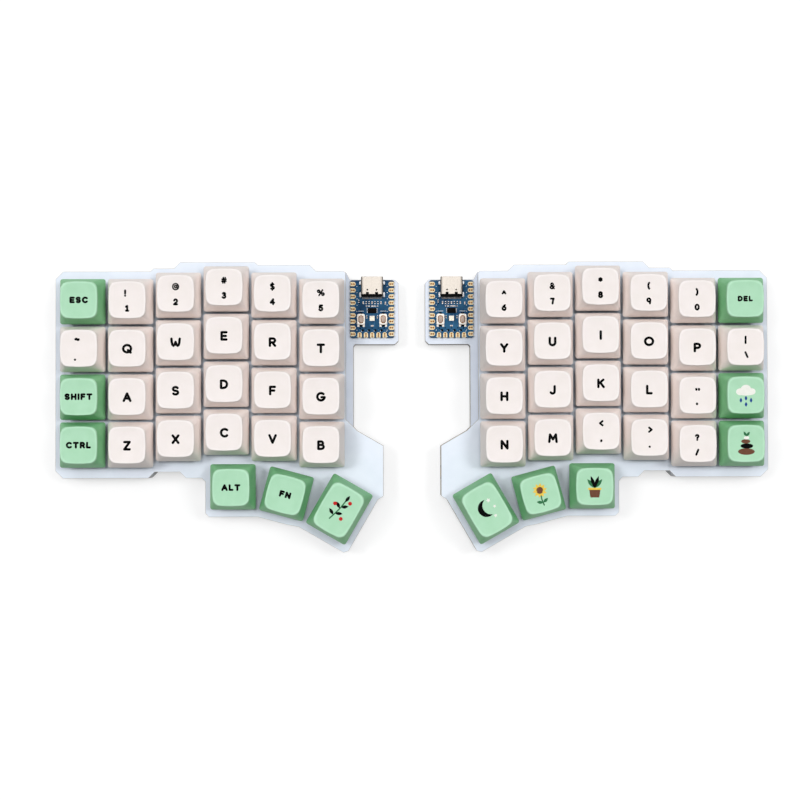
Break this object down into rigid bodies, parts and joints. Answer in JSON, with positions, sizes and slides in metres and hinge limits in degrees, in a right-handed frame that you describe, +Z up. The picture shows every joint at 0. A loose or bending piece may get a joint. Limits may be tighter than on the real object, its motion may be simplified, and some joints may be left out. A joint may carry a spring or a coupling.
{
  "type": "ergonomic split keyboard",
  "caption": "Split mechanical keyboard: two mirrored open-sided halves with staggered columns of sprung keys, a fanned thumb cluster and a controller with a USB-C port on each half.",
  "frame": {"origin": "on the desk under the middle of the pair's outline", "axes": "+X to the typist's right along the pair, +Y away from the typist, +Z up"},
  "size_m": [0.287, 0.1172, 0.0287],
  "materials": {
    "cream_cap": "matte",
    "green_cap": "matte",
    "white_plate": "satin",
    "white_board": "satin",
    "black_housing": "satin",
    "blue_board": "satin",
    "brass": "satin",
    "steel": "satin",
    "rubber": "matte"
  },
  "bodies": {
    "frame": {"switch_plates": "white_plate", "switches": "black_housing", "circuit_boards": "white_board", "controllers": "blue_board", "bottom_plates": "white_plate", "standoffs_and_screws": "brass"},
    "key_esc": {"key_esc": "green_cap"},
    "key_1": {"key_1": "cream_cap"},
    "key_2": {"key_2": "cream_cap"},
    "key_3": {"key_3": "cream_cap"},
    "key_4": {"key_4": "cream_cap"},
    "key_5": {"key_5": "cream_cap"},
    "key_tilde": {"key_tilde": "cream_cap"},
    "key_q": {"key_q": "cream_cap"},
    "key_w": {"key_w": "cream_cap"},
    "key_e": {"key_e": "cream_cap"},
    "key_r": {"key_r": "cream_cap"},
    "key_t": {"key_t": "cream_cap"},
    "key_shift": {"key_shift": "green_cap"},
    "key_a": {"key_a": "cream_cap"},
    "key_s": {"key_s": "cream_cap"},
    "key_d": {"key_d": "cream_cap"},
    "key_f": {"key_f": "cream_cap"},
    "key_g": {"key_g": "cream_cap"},
    "key_ctrl": {"key_ctrl": "green_cap"},
    "key_z": {"key_z": "cream_cap"},
    "key_x": {"key_x": "cream_cap"},
    "key_c": {"key_c": "cream_cap"},
    "key_v": {"key_v": "cream_cap"},
    "key_b": {"key_b": "cream_cap"},
    "key_6": {"key_6": "cream_cap"},
    "key_7": {"key_7": "cream_cap"},
    "key_8": {"key_8": "cream_cap"},
    "key_9": {"key_9": "cream_cap"},
    "key_0": {"key_0": "cream_cap"},
    "key_del": {"key_del": "green_cap"},
    "key_y": {"key_y": "cream_cap"},
    "key_u": {"key_u": "cream_cap"},
    "key_i": {"key_i": "cream_cap"},
    "key_o": {"key_o": "cream_cap"},
    "key_p": {"key_p": "cream_cap"},
    "key_backslash": {"key_backslash": "cream_cap"},
    "key_h": {"key_h": "cream_cap"},
    "key_j": {"key_j": "cream_cap"},
    "key_k": {"key_k": "cream_cap"},
    "key_l": {"key_l": "cream_cap"},
    "key_quote": {"key_quote": "cream_cap"},
    "key_right_edge_home": {"key_right_edge_home": "green_cap"},
    "key_n": {"key_n": "cream_cap"},
    "key_m": {"key_m": "cream_cap"},
    "key_comma": {"key_comma": "cream_cap"},
    "key_dot": {"key_dot": "cream_cap"},
    "key_slash": {"key_slash": "cream_cap"},
    "key_right_edge_low": {"key_right_edge_low": "green_cap"},
    "key_alt": {"key_alt": "green_cap"},
    "key_fn": {"key_fn": "green_cap"},
    "key_left_thumb_wide": {"key_left_thumb_wide": "green_cap"},
    "key_right_thumb_outer": {"key_right_thumb_outer": "green_cap"},
    "key_right_thumb_middle": {"key_right_thumb_middle": "green_cap"},
    "key_right_thumb_wide": {"key_right_thumb_wide": "green_cap"}
  },
  "joints": [
    {"name": "key_esc_travel", "type": "slide", "parent": "frame", "child": "key_esc", "axis": [0, 0, -1], "range_m": [0, 0.004], "stiffness_N_per_m": 70, "springref_m": -0.005},
    {"name": "key_1_travel", "type": "slide", "parent": "frame", "child": "key_1", "axis": [0, 0, -1], "range_m": [0, 0.004], "stiffness_N_per_m": 70, "springref_m": -0.005},
    {"name": "key_2_travel", "type": "slide", "parent": "frame", "child": "key_2", "axis": [0, 0, -1], "range_m": [0, 0.004], "stiffness_N_per_m": 70, "springref_m": -0.005},
    {"name": "key_3_travel", "type": "slide", "parent": "frame", "child": "key_3", "axis": [0, 0, -1], "range_m": [0, 0.004], "stiffness_N_per_m": 70, "springref_m": -0.005},
    {"name": "key_4_travel", "type": "slide", "parent": "frame", "child": "key_4", "axis": [0, 0, -1], "range_m": [0, 0.004], "stiffness_N_per_m": 70, "springref_m": -0.005},
    {"name": "key_5_travel", "type": "slide", "parent": "frame", "child": "key_5", "axis": [0, 0, -1], "range_m": [0, 0.004], "stiffness_N_per_m": 70, "springref_m": -0.005},
    {"name": "key_tilde_travel", "type": "slide", "parent": "frame", "child": "key_tilde", "axis": [0, 0, -1], "range_m": [0, 0.004], "stiffness_N_per_m": 70, "springref_m": -0.005},
    {"name": "key_q_travel", "type": "slide", "parent": "frame", "child": "key_q", "axis": [0, 0, -1], "range_m": [0, 0.004], "stiffness_N_per_m": 70, "springref_m": -0.005},
    {"name": "key_w_travel", "type": "slide", "parent": "frame", "child": "key_w", "axis": [0, 0, -1], "range_m": [0, 0.004], "stiffness_N_per_m": 70, "springref_m": -0.005},
    {"name": "key_e_travel", "type": "slide", "parent": "frame", "child": "key_e", "axis": [0, 0, -1], "range_m": [0, 0.004], "stiffness_N_per_m": 70, "springref_m": -0.005},
    {"name": "key_r_travel", "type": "slide", "parent": "frame", "child": "key_r", "axis": [0, 0, -1], "range_m": [0, 0.004], "stiffness_N_per_m": 70, "springref_m": -0.005},
    {"name": "key_t_travel", "type": "slide", "parent": "frame", "child": "key_t", "axis": [0, 0, -1], "range_m": [0, 0.004], "stiffness_N_per_m": 70, "springref_m": -0.005},
    {"name": "key_shift_travel", "type": "slide", "parent": "frame", "child": "key_shift", "axis": [0, 0, -1], "range_m": [0, 0.004], "stiffness_N_per_m": 70, "springref_m": -0.005},
    {"name": "key_a_travel", "type": "slide", "parent": "frame", "child": "key_a", "axis": [0, 0, -1], "range_m": [0, 0.004], "stiffness_N_per_m": 70, "springref_m": -0.005},
    {"name": "key_s_travel", "type": "slide", "parent": "frame", "child": "key_s", "axis": [0, 0, -1], "range_m": [0, 0.004], "stiffness_N_per_m": 70, "springref_m": -0.005},
    {"name": "key_d_travel", "type": "slide", "parent": "frame", "child": "key_d", "axis": [0, 0, -1], "range_m": [0, 0.004], "stiffness_N_per_m": 70, "springref_m": -0.005},
    {"name": "key_f_travel", "type": "slide", "parent": "frame", "child": "key_f", "axis": [0, 0, -1], "range_m": [0, 0.004], "stiffness_N_per_m": 70, "springref_m": -0.005},
    {"name": "key_g_travel", "type": "slide", "parent": "frame", "child": "key_g", "axis": [0, 0, -1], "range_m": [0, 0.004], "stiffness_N_per_m": 70, "springref_m": -0.005},
    {"name": "key_ctrl_travel", "type": "slide", "parent": "frame", "child": "key_ctrl", "axis": [0, 0, -1], "range_m": [0, 0.004], "stiffness_N_per_m": 70, "springref_m": -0.005},
    {"name": "key_z_travel", "type": "slide", "parent": "frame", "child": "key_z", "axis": [0, 0, -1], "range_m": [0, 0.004], "stiffness_N_per_m": 70, "springref_m": -0.005},
    {"name": "key_x_travel", "type": "slide", "parent": "frame", "child": "key_x", "axis": [0, 0, -1], "range_m": [0, 0.004], "stiffness_N_per_m": 70, "springref_m": -0.005},
    {"name": "key_c_travel", "type": "slide", "parent": "frame", "child": "key_c", "axis": [0, 0, -1], "range_m": [0, 0.004], "stiffness_N_per_m": 70, "springref_m": -0.005},
    {"name": "key_v_travel", "type": "slide", "parent": "frame", "child": "key_v", "axis": [0, 0, -1], "range_m": [0, 0.004], "stiffness_N_per_m": 70, "springref_m": -0.005},
    {"name": "key_b_travel", "type": "slide", "parent": "frame", "child": "key_b", "axis": [0, 0, -1], "range_m": [0, 0.004], "stiffness_N_per_m": 70, "springref_m": -0.005},
    {"name": "key_6_travel", "type": "slide", "parent": "frame", "child": "key_6", "axis": [0, 0, -1], "range_m": [0, 0.004], "stiffness_N_per_m": 70, "springref_m": -0.005},
    {"name": "key_7_travel", "type": "slide", "parent": "frame", "child": "key_7", "axis": [0, 0, -1], "range_m": [0, 0.004], "stiffness_N_per_m": 70, "springref_m": -0.005},
    {"name": "key_8_travel", "type": "slide", "parent": "frame", "child": "key_8", "axis": [0, 0, -1], "range_m": [0, 0.004], "stiffness_N_per_m": 70, "springref_m": -0.005},
    {"name": "key_9_travel", "type": "slide", "parent": "frame", "child": "key_9", "axis": [0, 0, -1], "range_m": [0, 0.004], "stiffness_N_per_m": 70, "springref_m": -0.005},
    {"name": "key_0_travel", "type": "slide", "parent": "frame", "child": "key_0", "axis": [0, 0, -1], "range_m": [0, 0.004], "stiffness_N_per_m": 70, "springref_m": -0.005},
    {"name": "key_del_travel", "type": "slide", "parent": "frame", "child": "key_del", "axis": [0, 0, -1], "range_m": [0, 0.004], "stiffness_N_per_m": 70, "springref_m": -0.005},
    {"name": "key_y_travel", "type": "slide", "parent": "frame", "child": "key_y", "axis": [0, 0, -1], "range_m": [0, 0.004], "stiffness_N_per_m": 70, "springref_m": -0.005},
    {"name": "key_u_travel", "type": "slide", "parent": "frame", "child": "key_u", "axis": [0, 0, -1], "range_m": [0, 0.004], "stiffness_N_per_m": 70, "springref_m": -0.005},
    {"name": "key_i_travel", "type": "slide", "parent": "frame", "child": "key_i", "axis": [0, 0, -1], "range_m": [0, 0.004], "stiffness_N_per_m": 70, "springref_m": -0.005},
    {"name": "key_o_travel", "type": "slide", "parent": "frame", "child": "key_o", "axis": [0, 0, -1], "range_m": [0, 0.004], "stiffness_N_per_m": 70, "springref_m": -0.005},
    {"name": "key_p_travel", "type": "slide", "parent": "frame", "child": "key_p", "axis": [0, 0, -1], "range_m": [0, 0.004], "stiffness_N_per_m": 70, "springref_m": -0.005},
    {"name": "key_backslash_travel", "type": "slide", "parent": "frame", "child": "key_backslash", "axis": [0, 0, -1], "range_m": [0, 0.004], "stiffness_N_per_m": 70, "springref_m": -0.005},
    {"name": "key_h_travel", "type": "slide", "parent": "frame", "child": "key_h", "axis": [0, 0, -1], "range_m": [0, 0.004], "stiffness_N_per_m": 70, "springref_m": -0.005},
    {"name": "key_j_travel", "type": "slide", "parent": "frame", "child": "key_j", "axis": [0, 0, -1], "range_m": [0, 0.004], "stiffness_N_per_m": 70, "springref_m": -0.005},
    {"name": "key_k_travel", "type": "slide", "parent": "frame", "child": "key_k", "axis": [0, 0, -1], "range_m": [0, 0.004], "stiffness_N_per_m": 70, "springref_m": -0.005},
    {"name": "key_l_travel", "type": "slide", "parent": "frame", "child": "key_l", "axis": [0, 0, -1], "range_m": [0, 0.004], "stiffness_N_per_m": 70, "springref_m": -0.005},
    {"name": "key_quote_travel", "type": "slide", "parent": "frame", "child": "key_quote", "axis": [0, 0, -1], "range_m": [0, 0.004], "stiffness_N_per_m": 70, "springref_m": -0.005},
    {"name": "key_right_edge_home_travel", "type": "slide", "parent": "frame", "child": "key_right_edge_home", "axis": [0, 0, -1], "range_m": [0, 0.004], "stiffness_N_per_m": 70, "springref_m": -0.005},
    {"name": "key_n_travel", "type": "slide", "parent": "frame", "child": "key_n", "axis": [0, 0, -1], "range_m": [0, 0.004], "stiffness_N_per_m": 70, "springref_m": -0.005},
    {"name": "key_m_travel", "type": "slide", "parent": "frame", "child": "key_m", "axis": [0, 0, -1], "range_m": [0, 0.004], "stiffness_N_per_m": 70, "springref_m": -0.005},
    {"name": "key_comma_travel", "type": "slide", "parent": "frame", "child": "key_comma", "axis": [0, 0, -1], "range_m": [0, 0.004], "stiffness_N_per_m": 70, "springref_m": -0.005},
    {"name": "key_dot_travel", "type": "slide", "parent": "frame", "child": "key_dot", "axis": [0, 0, -1], "range_m": [0, 0.004], "stiffness_N_per_m": 70, "springref_m": -0.005},
    {"name": "key_slash_travel", "type": "slide", "parent": "frame", "child": "key_slash", "axis": [0, 0, -1], "range_m": [0, 0.004], "stiffness_N_per_m": 70, "springref_m": -0.005},
    {"name": "key_right_edge_low_travel", "type": "slide", "parent": "frame", "child": "key_right_edge_low", "axis": [0, 0, -1], "range_m": [0, 0.004], "stiffness_N_per_m": 70, "springref_m": -0.005},
    {"name": "key_alt_travel", "type": "slide", "parent": "frame", "child": "key_alt", "axis": [0, 0, -1], "range_m": [0, 0.004], "stiffness_N_per_m": 70, "springref_m": -0.005},
    {"name": "key_fn_travel", "type": "slide", "parent": "frame", "child": "key_fn", "axis": [0, 0, -1], "range_m": [0, 0.004], "stiffness_N_per_m": 70, "springref_m": -0.005},
    {"name": "key_left_thumb_wide_travel", "type": "slide", "parent": "frame", "child": "key_left_thumb_wide", "axis": [0, 0, -1], "range_m": [0, 0.004], "stiffness_N_per_m": 70, "springref_m": -0.005},
    {"name": "key_right_thumb_outer_travel", "type": "slide", "parent": "frame", "child": "key_right_thumb_outer", "axis": [0, 0, -1], "range_m": [0, 0.004], "stiffness_N_per_m": 70, "springref_m": -0.005},
    {"name": "key_right_thumb_middle_travel", "type": "slide", "parent": "frame", "child": "key_right_thumb_middle", "axis": [0, 0, -1], "range_m": [0, 0.004], "stiffness_N_per_m": 70, "springref_m": -0.005},
    {"name": "key_right_thumb_wide_travel", "type": "slide", "parent": "frame", "child": "key_right_thumb_wide", "axis": [0, 0, -1], "range_m": [0, 0.004], "stiffness_N_per_m": 70, "springref_m": -0.005}
  ]
}
